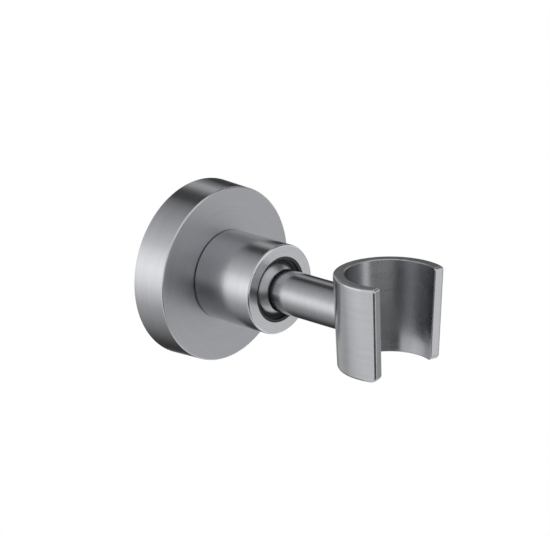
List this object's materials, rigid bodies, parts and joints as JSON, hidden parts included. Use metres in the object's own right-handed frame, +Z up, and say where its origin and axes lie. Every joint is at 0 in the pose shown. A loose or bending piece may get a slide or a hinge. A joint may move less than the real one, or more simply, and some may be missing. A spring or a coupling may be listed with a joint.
{
  "type": "hand shower wall bracket",
  "caption": "Round wall bracket for a hand shower: flange, ball joint in a turned socket, straight arm and an open tapered clip.",
  "frame": {"origin": "centre of the flange's flat back, on the wall", "axes": "+Y into the wall, the arm points along -Y, +Z up, +X to the right of someone who faces the wall"},
  "size_m": [0.05, 0.0768, 0.05],
  "materials": {
    "satin_steel": "brushed stainless steel, fine satin grain",
    "plain_steel": "turned stainless steel, not brushed",
    "ball_steel": "smooth turned stainless steel",
    "dark_steel": "stainless steel socket screw",
    "black_nylon": "black nylon, matt"
  },
  "bodies": {
    "base": {"flange": "satin_steel", "wall_plate": "plain_steel", "grub_screw": "dark_steel", "hub": "plain_steel", "hub_washer": "plain_steel", "hub_nut": "plain_steel", "socket": "satin_steel", "friction_ring": "black_nylon", "spring": "plain_steel"},
    "seat": {"pressure_cup": "black_nylon"},
    "ball": {"ball": "ball_steel"},
    "arm": {"arm": "satin_steel", "clip": "satin_steel", "clip_screw": "plain_steel"}
  },
  "joints": [
    {"name": "seat_spin", "type": "hinge", "parent": "base", "child": "seat", "pos_m": [0, -0.023, 0], "axis": [0, -1, 0], "continuous": true},
    {"name": "ball_tilt", "type": "hinge", "parent": "seat", "child": "ball", "pos_m": [0, -0.023, 0], "axis": [1, 0, 0], "range_deg": [-15, 15]},
    {"name": "arm_spin", "type": "hinge", "parent": "ball", "child": "arm", "pos_m": [0, -0.023, 0], "axis": [0, -1, 0], "continuous": true}
  ]
}
